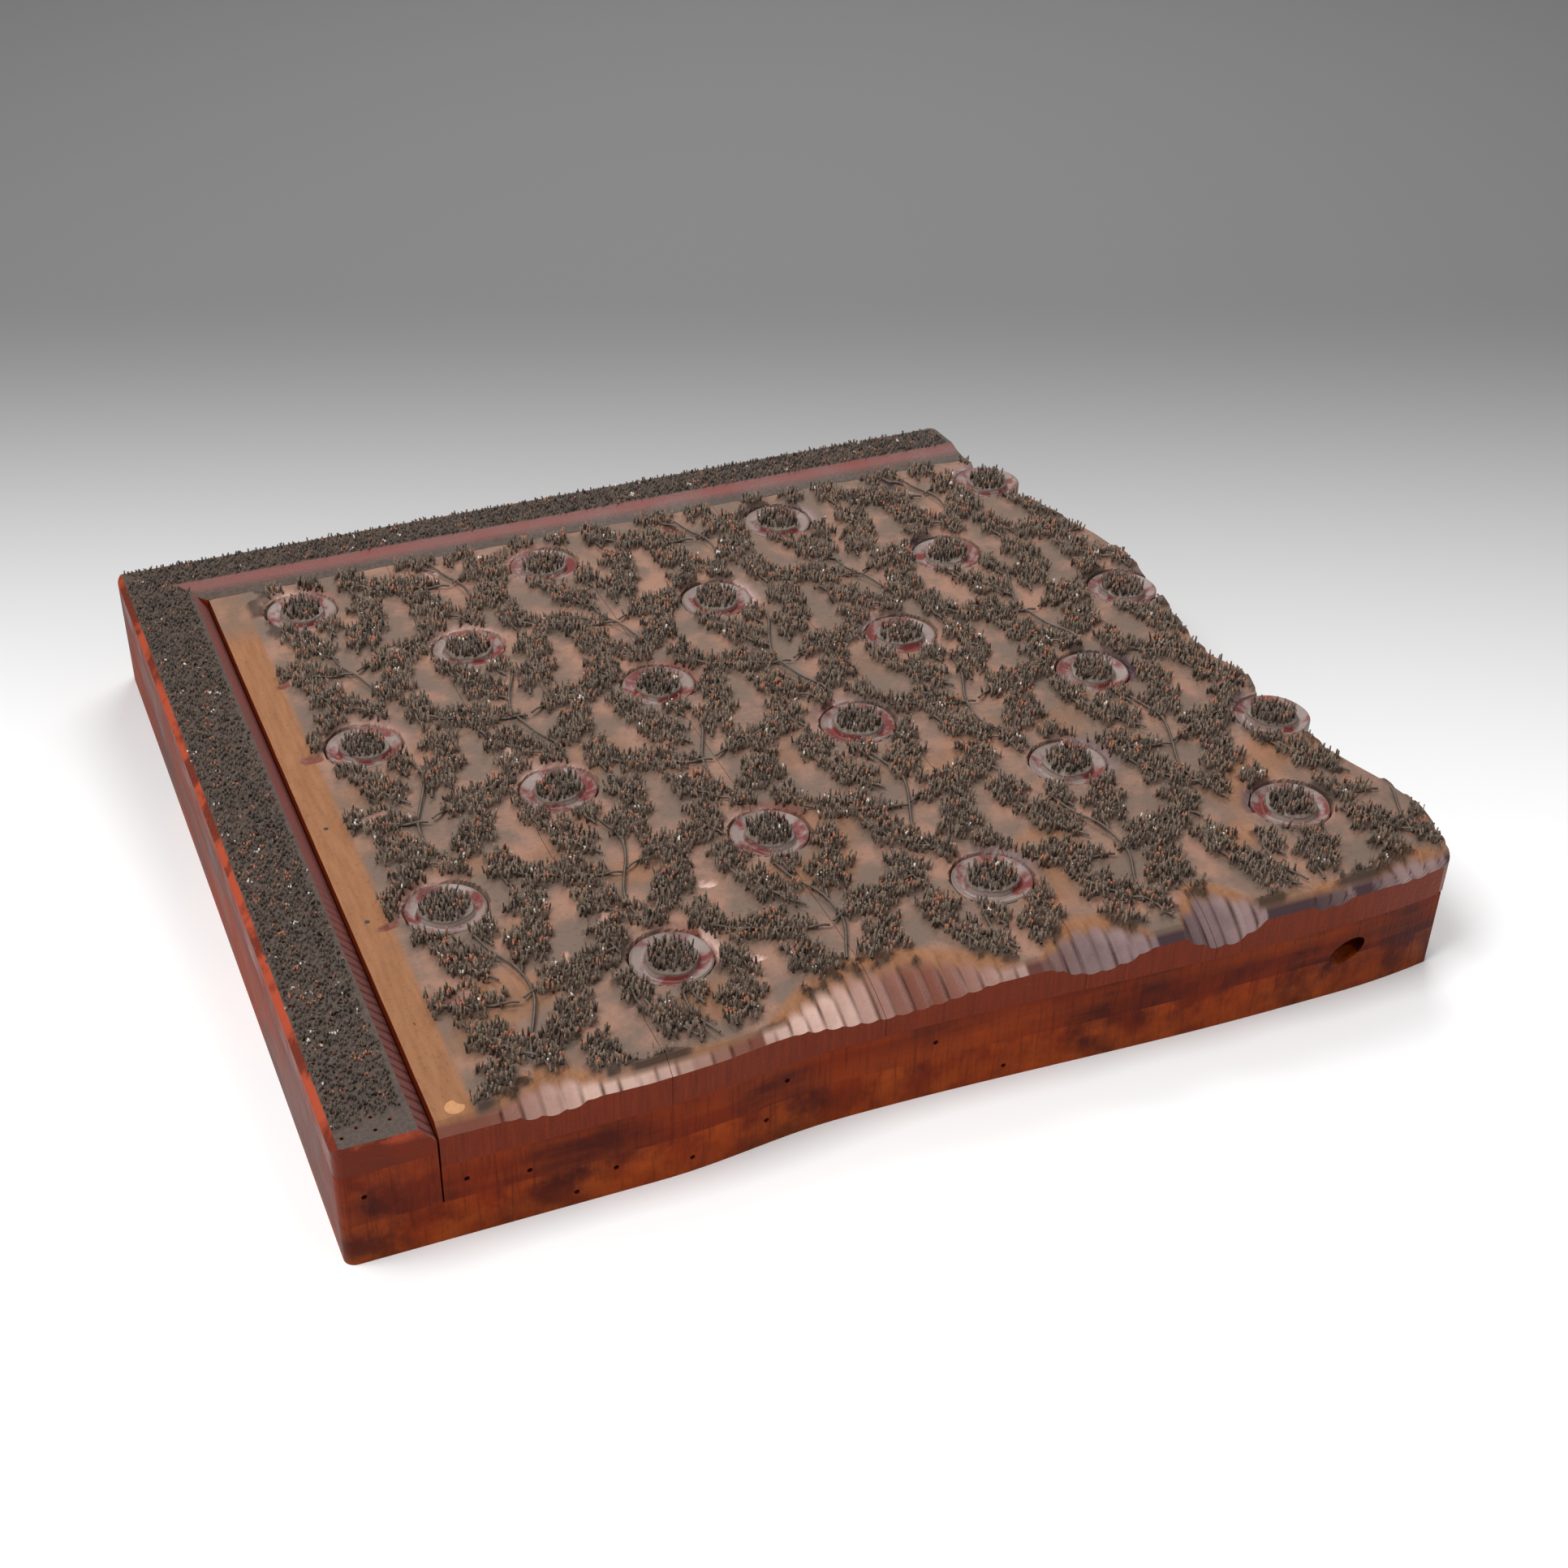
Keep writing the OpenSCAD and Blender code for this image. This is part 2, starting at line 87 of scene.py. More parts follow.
# Plugs: half-drop rows from the back, and how far each drifts sideways from its place
PLUG_R = 19.0
PLUG_PITCH_X = 146.0
PLUG_PITCH_Y = 71.3
PLUG_LEFT = 93.0
PLUG_BACK = 73.0
PLUG_DRIFT = [[-4, -10, -12, -20], [-3, -6, -10], [-6, 6, 0, -9], [0, 15, 5], [-5, 9, 24, -3], [5, 18, 34]]
EDGE_PLUGS = (3, 17)
# Half the section of a turned plug: radius, and height from the ground of the face
PLUG_PROFILE = [(0, -20.5), (PLUG_R, -20.5), (PLUG_R, -3), (PLUG_R, -1.3), (18.4, -0.8), (17.4, -1.5),
                (16, -2.6), (14.6, -3.2), (13.8, -2.7), (13.2, -1.2), (12.6, -0.2), (11.4, 0.1),
                (6, 0.2), (0, 0.25)]

# Leaves of one sprig: across and up from its middle, angle, length and width
LEAVES = [(-17, -27, 128, 36, 22), (17, -25, 52, 36, 22), (-27, 2, 160, 46, 24), (28, 4, 20, 46, 24),
          (-15, 29, 118, 36, 22), (16, 31, 64, 36, 22), (-50, -16, 100, 28, 20), (50, -14, 80, 28, 20),
          (-51, 19, 82, 28, 18), (51, 20, 98, 28, 18), (0, 47, 90, 22, 14), (0, -46, 90, 22, 14)]
LEAF_SPAN = 30
SPRIG_SHIFT = 6
STEM_HALF = 44
STEM_SWAY = 7
RIB_BOW = 2.5
RIB_R = 0.75
RIB_LIFT = 2.2
# Short gouge cuts left in the ground: middle, angle, length and width
GOUGE_MARKS = [(75, 75, 20, 18, 6), (75, 218, 25, 18, 6), (60, 136, 10, 12, 5), (155, 107, 10, 11, 5),
               (205, 113, -15, 10, 5), (205, 55, -20, 10, 5), (127, 85, 80, 11, 2.5), (152, 249, 60, 9, 5),
               (303, 293, -50, 9, 5), (165, 436, 80, 14, 9), (310, 437, -60, 14, 8), (452, 441, 70, 12, 8),
               (125, 364, -40, 8, 4), (235, 352, -30, 8, 4), (63, 352, 10, 10, 5), (60, 280, 0, 14, 8)]
MARK_DEPTH = 1.4

# The pinned field, its bare back left corner, and the grid that carries the carving
FIELD_X = 61.0
FIELD_BACK = BLOCK_D - RAIL_W
BARE_CORNER_X = 74
BARE_CORNER_Y = 400
PIN_PITCH = 2.05
PLUG_PIN_PITCH = 2.15
PIN_ROOT_R = 0.66
PIN_TIP_R = 0.42
GRID = 1.5
# Dried colour between the pins, the sink of a plug's ground, and the flat top of the left rail
PACKED = 1.7
SOCKET_SINK = 5.5
RAIL_FLAT = 34.0
RAIL_MARGIN = 3.4
# Rows of the face boards under the back rail, closer together where the back corner is rounded
BACK_ROWS = [FIELD_BACK, 470, 485, 491, 494, 496.5, 498, BLOCK_D]


# Outline and pattern, all worked out on whole arrays of points
def front_y(x):
    """The front edge of the block at x."""
    far = np.where(x < DENT_X, (DENT_X - x) / DENT_RISE, (x - DENT_X) / DENT_FALL)
    dent = np.where(far < 1, DENT_DEPTH / 2 * (1 + np.cos(np.pi * np.minimum(far, 1))), 0)
    return dent + END_CUT * (np.maximum(0, x - (BLOCK_W - END_RUN)) / END_RUN) ** 2


def row_y(row):
    return BLOCK_D - PLUG_BACK - row * PLUG_PITCH_Y


PLUGS = [(PLUG_LEFT + PLUG_PITCH_X * (i + (row % 2) / 2) + drift, row_y(row))
         for row, drifts in enumerate(PLUG_DRIFT) for i, drift in enumerate(drifts)]
# The sprigs stand between the plugs. Rows beyond the block's edges give the leaves that reach into it.
SPRIGS = [(PLUG_LEFT + PLUG_PITCH_X * (i - 0.5 + (abs(row) % 2) / 2) + SPRIG_SHIFT, row_y(row), row)
          for row in range(-1, 8) for i in range(-1, 6)]


def right_x(y):
    """The right edge of the block at y, with its lobes and the rims of the two outermost plugs."""
    waist = BLOCK_W - WAIST_IN - WAIST_TAPER * np.maximum(0, y - WAIST_FROM) / BLOCK_D
    edge = waist
    for middle, reach, half in LOBES:
        off = np.clip((y - middle) / half, -1, 1)
        edge = np.maximum(edge, waist + reach * np.cos(np.pi / 2 * off) ** 2)
    for cx, cy in (PLUGS[index] for index in EDGE_PLUGS):
        inner = PLUG_R ** 2 - (y - cy) ** 2
        edge = np.maximum(edge, np.where(inner > 0, cx + np.sqrt(np.maximum(inner, 0)), 0))
    return edge


def rounding(radius, into):
    """How far a rounded corner draws an edge in, so many millimetres into the corner."""
    return radius - np.sqrt(radius ** 2 - np.clip(into, 0, radius) ** 2)


def ramp(value, width):
    """Goes from 0 to 1 while the value goes from 0 to the width."""
    return np.clip(value / width, 0, 1)


def smooth_noise(x, y, size, seed):
    """Soft bumps about size mm across and about 1 high, the same at each run: ten crossing waves."""
    waves = np.random.default_rng(seed)
    total = np.zeros_like(x)
    for _ in range(10):
        angle = waves.uniform(0, 2 * np.pi)
        length = size * waves.uniform(0.7, 1.9)
        phase = waves.uniform(0, 2 * np.pi)
        total += np.sin(2 * np.pi * (x * np.cos(angle) + y * np.sin(angle)) / length + phase)
    return total / 5


def along_and_across(dx, dy, angle):
    """The same distances measured along and across a line at this angle."""
    c, s = math.cos(math.radians(angle)), math.sin(math.radians(angle))
    return dx * c + dy * s, dy * c - dx * s


def nearest_plug(x, y):
    """How far the nearest plug's middle is, and which plug that is."""
    away = [np.hypot(x - cx, y - cy) for cx, cy in PLUGS]
    return np.min(away, axis=0), np.argmin(away, axis=0)


def leaf_cover(x, y):
    """Above 0 inside a lobed leaf and below 0 outside, by about the distance in half leaf lengths."""
    best = np.full_like(x, -9.0)
    ragged = 0.10 * smooth_noise(x, y, 7, 11) + 0.10 * smooth_noise(x, y, 17, 12)
    for sprig_x, sprig_y, _ in SPRIGS:
        for number, (leaf_x, leaf_y, angle, length, width) in enumerate(LEAVES):
            dx, dy = x - sprig_x - leaf_x, y - sprig_y - leaf_y
            near = (abs(dx) < LEAF_SPAN) & (abs(dy) < LEAF_SPAN)
            if not near.any():
                continue
            along, across = along_and_across(dx, dy, angle)
            u, v = 2 * along / length, 2 * across / width
            turn = np.arctan2(v, u)
            lobes = 0.86 + 0.17 * np.cos(5 * turn + number) + 0.08 * np.cos(9 * turn + 2 * number)
            best = np.where(near, np.maximum(best, lobes + ragged - np.hypot(u, v)), best)
    return best


def scoop_reach(scoop, x):
    """How far back from the front edge a scoop reaches at x."""
    middle, half, reach, _ = scoop
    return SCOOP_END_REACH + reach * (1 - ((x - middle) / half) ** 2)


def front_flutes(x, y):
    """The depth of the gouge flutes, a tone from 0 to 1 for each flute, and the dark lines between them."""
    depth, tone, line = np.zeros_like(x), np.zeros_like(x), np.zeros_like(x)
    inward = y - front_y(x)
    for scoop in SCOOPS:
        middle, half, _, drop = scoop
        count = max(1, round(2 * half / FLUTE_PITCH) - 1)
        step = 2 * half / (count + 1)
        for k in range(1, count + 1):
            u = 2 * k / (count + 1) - 1
            flute_x = middle + u * half
            across = np.abs(x - flute_x - FLUTE_SPLAY * inward * u)
            round_bottom = GOUGE_R - np.sqrt(np.maximum(GOUGE_R ** 2 - across ** 2, 0))
            hollow = np.where(across < GOUGE_R, round_bottom, GOUGE_R)
            slope = np.clip(1 - inward / scoop_reach(scoop, flute_x), -1, 1)
            fall = SCOOP_END_DROP + drop * (1 - u * u)
            sunk = fall * (0.35 * slope + 0.65 * np.sign(slope) * slope ** 2)
            depth = np.maximum(depth, sunk - 1.15 * hollow)
        here = abs(x - middle) < half * 1.02
        number = (x - middle - FLUTE_SPLAY * inward * (x - middle) / half + half) / step + 0.5
        to_line = np.minimum(number % 1, 1 - number % 1) * step
        # The sine of a large step gives each flute its tone as if by chance
        tone = np.where(here, 0.5 + 0.5 * np.sin(np.floor(number) * 12.9898 + middle), tone)
        line = np.where(here, 1 - ramp(to_line, FLUTE_LINE), line)
    return depth, tone, line


def gouge_marks(x, y):
    """The depth of the short cuts left in the ground."""
    depth = np.zeros_like(x)
    for mark_x, mark_y, angle, length, width in GOUGE_MARKS:
        along, across = along_and_across(x - mark_x, y - mark_y, angle)
        u, v = 2 * along / length, 2 * across / width
        depth = np.maximum(depth, MARK_DEPTH * np.maximum(0, 1 - u * u - v * v))
    return depth


def plug_chips(x, y):
    """The depth of the faceted cuts that ease the ground round one side of each plug."""
    away, which = nearest_plug(x, y)
    cx, cy = np.array(PLUGS)[which].T
    turn = np.arctan2(y - cy, x - cx)
    # The plug's number sets the side and the facets, as if by chance
    start = 1.2 + 1.4 * np.sin(which * 2.3)
    side = np.maximum(0, np.cos((turn - start) * 0.9)) ** 2
    facets = 0.75 + 0.25 * np.abs(np.sin(turn * 7 + which))
    band = np.exp(-((away - PLUG_R - 1.5) / 3.2) ** 2)
    return 1.7 * band * side * facets


def carved_face(x, y):
    """The height of the carved face, and how its finishes are spread over it, each from 0 to 1."""
    away, _ = nearest_plug(x, y)
    flutes, tone, line = front_flutes(x, y)
    marks, chips = gouge_marks(x, y), plug_chips(x, y)
    cover = leaf_cover(x, y)
    socket = ramp(PLUG_R + 0.9 - away, 0.7)
    settled = 0.25 * smooth_noise(x, y, 38, 3) + 0.12 * smooth_noise(x, y, 11, 4)
    # Dried colour is packed between the pins, so that the ground stands higher there
    packed = np.clip(cover * 5 + 0.6, 0, 1) * ramp(away - PLUG_R - 2, 2) * (flutes < 0.02)
    packed *= ramp(x - FIELD_X, 3) * ramp(FIELD_BACK - 3 - y, 3)
    z = GROUND_Z + np.minimum(settled, 0.25) + PACKED * packed
    z -= flutes + marks + chips * (1 - socket) + SOCKET_SINK * socket

    cut = np.clip(np.maximum(np.maximum(flutes * 0.6 - 0.45, marks * 2.2), chips * 0.75), 0, 1)
    # Bare wood shows in the margin beside the left rail, along the front edge and in a few patches
    margin = ramp(FIELD_X + 2 - x, 3) * np.maximum(ramp(430 - y, 30), 0.25)
    in_scoop = [np.where(abs(x - scoop[0]) < scoop[1], scoop_reach(scoop, x), 0) for scoop in SCOOPS]
    rim = 1 - ramp(y - front_y(x) - np.max(in_scoop, axis=0), 5)
    patches = np.clip((smooth_noise(x, y, 60, 5) - 0.25) * 1.2, 0, 0.6) * np.maximum(ramp(330 - y, 200), 0.1)
    dirt = np.clip(cover * 5 + 0.4, 0, 1) * ramp(x - FIELD_X, 2) * 0.8 * (1 - cut)
    bare = np.clip(np.maximum(np.maximum(margin, rim * 0.9), patches), 0, 1)
    line = line * (flutes > 0.3)
    return z, {"cut": cut, "bare": bare, "dirt": dirt, "flute": tone, "line": line}


# Handling of pieces
def select_only(piece):
    bpy.ops.object.select_all(action="DESELECT")
    piece.select_set(True)
    bpy.context.view_layer.objects.active = piece


def link_piece(name, data):
    piece = bpy.data.objects.new(name, data)
    bpy.context.scene.collection.objects.link(piece)
    return piece


def points_of(mesh):
    """A mesh's points as rows of x, y and z."""
    flat = np.empty(len(mesh.vertices) * 3, np.float32)
    mesh.vertices.foreach_get("co", flat)
    return flat.reshape(-1, 3).astype(float)


def place_points(mesh, x, y, z):
    """Moves a mesh's points to places in the block's millimetres."""
    points = np.stack([x - BLOCK_W / 2, y - BLOCK_D / 2, z], axis=-1) * MM
    mesh.vertices.foreach_set("co", points.astype(np.float32).ravel())


def give_finish(piece, material):
    piece.data.materials.clear()
    piece.data.materials.append(material)


def fit_piece(piece, node, material):
    """Gives a new piece its finish and its slot, and sets it in the place of a CAD node."""
    give_finish(piece, material)
    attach(piece, "root")
    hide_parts(node)


# Materials
def srgb(code):
    """An sRGB hex value as the linear colour that a shader reads."""
    channels = [int(code[i:i + 2], 16) / 255 for i in (0, 2, 4)]
    linear = [c / 12.92 if c <= 0.04045 else ((c + 0.055) / 1.055) ** 2.4 for c in channels]
    return (*linear, 1.0)


def per(size):
    """The scale that makes a pattern repeat about every size mm."""
    return 1 / (size * MM)


def add(material, kind, inputs=None, **settings):
    """Adds a node. An input takes a value, a socket or a node, whose first output is then meant.

    A colour mix has its share at input 0, its colours at 6 and 7, and its result at output 2.
    """
    node = material.node_tree.nodes.new(kind)
    for name, value in settings.items():
        setattr(node, name, value)
    for key, value in (inputs or {}).items():
        if isinstance(value, bpy.types.Node):
            value = value.outputs[0]
        if isinstance(value, bpy.types.NodeSocket):
            material.node_tree.links.new(value, node.inputs[key])
        else:
            node.inputs[key].default_value = value
    return node


def new_material(name):
    material = bpy.data.materials.new(name)
    material.use_nodes = True
    return material, material.node_tree.nodes["Principled BSDF"]


def connect(material, shader, colour, roughness, relief, depth):
    """Colour and roughness to the shader, and a pattern as relief of so many millimetres."""
    bump = add(material, "ShaderNodeBump", {"Strength": 0.9, "Distance": depth * MM, "Height": relief})
    material.node_tree.links.new(colour, shader.inputs["Base Color"])
    material.node_tree.links.new(roughness.outputs[0], shader.inputs["Roughness"])
    material.node_tree.links.new(bump.outputs[0], shader.inputs["Normal"])


# Clouds of stain are 13 to 60 mm across and streaks of grain 17 mm. Pores, specks and saw lines are under
# 1 mm in the real block, too fine to show, so that they are drawn about 2 mm wide.
# Saw lines run up and down the sides: narrow across and drawn out along z. Grain is drawn out along a board.
SAW_DRAWN = (1, 1, 0.06)
SAW_PITCH = 1.613
# Oil has sunk into the old wood, so that it shines far less than new varnish
OILED_SHINE = 0.08
WORN_SHINE = 0.1


def stained_board(name, grain_drawn, dark, middle, light):
    """Sawn mahogany, stained red-brown and oiled: dark clouds, lighter streaks of grain and fine saw marks.

    Its lowest 14 mm turn towards orange in streaks, the more so nearer the bottom.
    """
    wood, shader = new_material(name)
    place = add(wood, "ShaderNodeTexCoord").outputs["Object"]
    height = add(wood, "ShaderNodeSeparateXYZ", {0: place}).outputs["Z"]
    along = add(wood, "ShaderNodeMapping", {"Vector": place, "Scale": grain_drawn})
    upright = add(wood, "ShaderNodeMapping", {"Vector": place, "Scale": SAW_DRAWN})
    clouds = add(wood, "ShaderNodeTexNoise",
                 {"Vector": place, "Scale": per(58.8), "Detail": 5, "Roughness": 0.62})
    streaks = add(wood, "ShaderNodeTexNoise",
                  {"Vector": along, "Scale": per(16.67), "Detail": 6, "Roughness": 0.6})
    saw = add(wood, "ShaderNodeTexNoise",
              {"Vector": upright, "Scale": per(SAW_PITCH), "Detail": 3, "Roughness": 0.7})

    tone = add(wood, "ShaderNodeMapRange", {"Value": clouds, "From Min": 0.36, "From Max": 0.62},
               interpolation_type="SMOOTHSTEP")
    base = add(wood, "ShaderNodeMix", {0: tone, 6: srgb(dark), 7: srgb(middle)}, data_type="RGBA").outputs[2]
    light_grain = add(wood, "ShaderNodeMapRange",
                      {"Value": streaks, "From Min": 0.42, "From Max": 0.75, "To Max": 0.75})
    grained = add(wood, "ShaderNodeMix", {0: light_grain, 6: base, 7: srgb(light)},
                  data_type="RGBA").outputs[2]
    saw_share = add(wood, "ShaderNodeMapRange",
                    {"Value": saw, "From Min": 0.50, "From Max": 0.72, "To Max": 0.55})
    sawn = add(wood, "ShaderNodeMix", {0: saw_share, 6: grained, 7: srgb(dark)}, data_type="RGBA").outputs[2]
    # The lowest 14 mm turn towards orange in streaks, the more so nearer the bottom.
    foot = add(wood, "ShaderNodeMapRange",
               {"Value": height, "From Min": 0.0, "From Max": 14 * MM, "To Min": 0.45, "To Max": 0.0})
    orange_share = add(wood, "ShaderNodeMath", {0: foot, 1: streaks}, operation="MULTIPLY")
    colour = add(wood, "ShaderNodeMix", {0: orange_share, 6: sawn, 7: srgb("a9521f")}, data_type="RGBA").outputs[2]
    rough = add(wood, "ShaderNodeMapRange",
                {"Value": clouds, "From Min": 0.3, "From Max": 0.7, "To Min": 0.38, "To Max": 0.62})
    connect(wood, shader, colour, rough, saw, 0.5)
    shader.inputs["Specular IOR Level"].default_value = OILED_SHINE
    return wood


def carved_pear_wood():
    """Pear wood under years of dried colour: a grey-brown ground, orange where it is bare, specked dark.

    Fresh gouge cuts are burnished: pinkish on the left of the front edge and purple-grey on its right. The
    outer walls are stained and sawn as the other boards are.
    """
    wood, shader = new_material("worn_pear_wood_ground")
    place = add(wood, "ShaderNodeTexCoord").outputs["Object"]
    from_left = add(wood, "ShaderNodeSeparateXYZ", {0: place}).outputs["X"]
    normal = add(wood, "ShaderNodeNewGeometry").outputs["Normal"]
    facing_up = add(wood, "ShaderNodeSeparateXYZ", {0: normal}).outputs["Z"]
    cut, bare, dirt, flute, line = [add(wood, "ShaderNodeAttribute", attribute_name=name).outputs["Fac"]
                                    for name in ("cut", "bare", "dirt", "flute", "line")]
    along = add(wood, "ShaderNodeMapping", {"Vector": place, "Scale": (1, 0.12, 1)})
    upright = add(wood, "ShaderNodeMapping", {"Vector": place, "Scale": SAW_DRAWN})
    clouds = add(wood, "ShaderNodeTexNoise",
                 {"Vector": place, "Scale": per(29.4), "Detail": 6, "Roughness": 0.6})
    specks = add(wood, "ShaderNodeTexNoise",
                 {"Vector": place, "Scale": per(2.381), "Detail": 4, "Roughness": 0.7})
    grain = add(wood, "ShaderNodeTexNoise",
                {"Vector": along, "Scale": per(2.632), "Detail": 4, "Roughness": 0.6})
    saw = add(wood, "ShaderNodeTexNoise",
              {"Vector": upright, "Scale": per(SAW_PITCH), "Detail": 3, "Roughness": 0.7})

    tone = add(wood, "ShaderNodeMapRange", {"Value": clouds, "From Min": 0.42, "From Max": 0.66},
               interpolation_type="SMOOTHSTEP")
    ground = add(wood, "ShaderNodeMix", {0: tone, 6: srgb("6f5d52"), 7: srgb("94705f")},
                 data_type="RGBA").outputs[2]
    orange = add(wood, "ShaderNodeMix", {0: grain, 6: srgb("724a30"), 7: srgb("a07150")},
                 data_type="RGBA").outputs[2]
    worn = add(wood, "ShaderNodeMix", {0: bare, 6: ground, 7: orange}, data_type="RGBA").outputs[2]
    dirty = add(wood, "ShaderNodeMix", {0: dirt, 6: worn, 7: srgb("3a302a")}, data_type="RGBA").outputs[2]
    speck_share = add(wood, "ShaderNodeMapRange",
                      {"Value": specks, "From Min": 0.56, "From Max": 0.74, "To Max": 0.5})
    specked = add(wood, "ShaderNodeMix", {0: speck_share, 6: dirty, 7: srgb("4a3d36")},
                  data_type="RGBA").outputs[2]

    to_right = add(wood, "ShaderNodeMapRange", {"Value": from_left, "From Min": 20 * MM, "From Max": 75 * MM})
    mottled = add(wood, "ShaderNodeMath", {0: flute, 1: clouds}, operation="MULTIPLY")
    shade = add(wood, "ShaderNodeMath", {0: mottled, 1: 2.0}, operation="MULTIPLY", use_clamp=True)
    pink = add(wood, "ShaderNodeMix", {0: shade, 6: srgb("74463a"), 7: srgb("c4a396")},
               data_type="RGBA").outputs[2]
    purple = add(wood, "ShaderNodeMix", {0: shade, 6: srgb("453438"), 7: srgb("8d7674")},
                 data_type="RGBA").outputs[2]
    facet = add(wood, "ShaderNodeMix", {0: to_right, 6: pink, 7: purple}, data_type="RGBA").outputs[2]
    fluted = add(wood, "ShaderNodeMix", {0: line, 6: facet, 7: srgb("3b1c12")}, data_type="RGBA").outputs[2]
    top = add(wood, "ShaderNodeMix", {0: cut, 6: specked, 7: fluted}, data_type="RGBA").outputs[2]

    upright_wall = add(wood, "ShaderNodeMapRange",
                       {"Value": facing_up, "From Min": 0.10, "From Max": 0.25, "To Min": 1, "To Max": 0})
    stained = add(wood, "ShaderNodeMix", {0: saw, 6: srgb("481103"), 7: srgb("8a320b")},
                  data_type="RGBA").outputs[2]
    colour = add(wood, "ShaderNodeMix", {0: upright_wall, 6: top, 7: stained}, data_type="RGBA").outputs[2]
    rough = add(wood, "ShaderNodeMapRange", {"Value": cut, "To Min": 0.66, "To Max": 0.30})
    connect(wood, shader, colour, rough, specks, 0.35)
    shader.inputs["Specular IOR Level"].default_value = WORN_SHINE
    return wood


def stained_rail():
    """Planed mahogany: black with dried colour on top, purple-red on the inner edge, and stained outside.

    The front third of the left bevel keeps the slanting marks of the file. Outside, the upper arris is
    chipped and rubbed to a brighter red.
    """
    wood, shader = new_material("ink_stained_rail")
    place = add(wood, "ShaderNodeTexCoord").outputs["Object"]
    spot = add(wood, "ShaderNodeSeparateXYZ", {0: place})
    normal = add(wood, "ShaderNodeNewGeometry").outputs["Normal"]
    facing = add(wood, "ShaderNodeSeparateXYZ", {0: normal})
    clouds = add(wood, "ShaderNodeTexNoise",
                 {"Vector": place, "Scale": per(38.46), "Detail": 6, "Roughness": 0.65})
    fine = add(wood, "ShaderNodeTexNoise", {"Vector": place, "Scale": per(2), "Detail": 4, "Roughness": 0.7})
    file_marks = add(wood, "ShaderNodeTexWave",
                     {"Vector": place, "Scale": per(10.526), "Distortion": 1.5, "Detail": 2},
                     bands_direction="DIAGONAL")

    on_left_bevel = add(wood, "ShaderNodeMath", {0: facing.outputs["X"], 1: 0.3}, operation="GREATER_THAN")
    in_front = add(wood, "ShaderNodeMapRange", {"Value": spot.outputs["Y"], "From Min": -120 * MM,
                                                "From Max": -60 * MM, "To Min": 1, "To Max": 0})
    mark_share = add(wood, "ShaderNodeMapRange",
                     {"Value": file_marks.outputs["Fac"], "From Min": 0.62, "From Max": 0.9, "To Max": 0.6})
    marks_left = add(wood, "ShaderNodeMath", {0: mark_share, 1: on_left_bevel}, operation="MULTIPLY")
    marks_here = add(wood, "ShaderNodeMath", {0: marks_left, 1: in_front}, operation="MULTIPLY")
    worked = add(wood, "ShaderNodeMix", {0: clouds, 6: srgb("67544f"), 7: srgb("86403c")},
                 data_type="RGBA").outputs[2]
    filed = add(wood, "ShaderNodeMix", {0: marks_here, 6: worked, 7: srgb("2d211f")},
                data_type="RGBA").outputs[2]

    side = add(wood, "ShaderNodeMix", {0: clouds, 6: srgb("420f06"), 7: srgb("85300f")},
               data_type="RGBA").outputs[2]
    near_top = add(wood, "ShaderNodeMapRange", {"Value": spot.outputs["Z"], "From Min": (RAIL_Z - 6) * MM,
                                                "From Max": (RAIL_Z - 2.5) * MM})
    chips = add(wood, "ShaderNodeMapRange", {"Value": clouds, "From Min": 0.47, "From Max": 0.56})
    chipped = add(wood, "ShaderNodeMath", {0: near_top, 1: chips}, operation="MULTIPLY")
    outside = add(wood, "ShaderNodeMix", {0: chipped, 6: side, 7: srgb("a3442a")},
                  data_type="RGBA").outputs[2]

    flat = add(wood, "ShaderNodeMapRange", {"Value": facing.outputs["Z"], "From Min": 0.96, "From Max": 0.99})
    sloped = add(wood, "ShaderNodeMapRange",
                 {"Value": facing.outputs["Z"], "From Min": 0.15, "From Max": 0.3})
    faces_left = add(wood, "ShaderNodeMath", {0: facing.outputs["X"], 1: -0.3}, operation="LESS_THAN")
    faces_back = add(wood, "ShaderNodeMath", {0: facing.outputs["Y"], 1: 0.3}, operation="GREATER_THAN")
    outer = add(wood, "ShaderNodeMath", {0: faces_left, 1: faces_back}, operation="MAXIMUM")
    inner = add(wood, "ShaderNodeMath", {0: sloped, 1: outer}, operation="SUBTRACT", use_clamp=True)
    edges = add(wood, "ShaderNodeMix", {0: inner, 6: outside, 7: filed}, data_type="RGBA").outputs[2]
    top = add(wood, "ShaderNodeMix", {0: fine, 6: srgb("241c17"), 7: srgb("665850")},
              data_type="RGBA").outputs[2]
    colour = add(wood, "ShaderNodeMix", {0: flat, 6: edges, 7: top}, data_type="RGBA").outputs[2]
    rough = add(wood, "ShaderNodeMapRange",
                {"Value": clouds, "From Min": 0.35, "From Max": 0.65, "To Min": 0.28, "To Max": 0.6})
    connect(wood, shader, colour, rough, fine, 0.4)
    shader.inputs["Specular IOR Level"].default_value = WORN_SHINE
    return wood


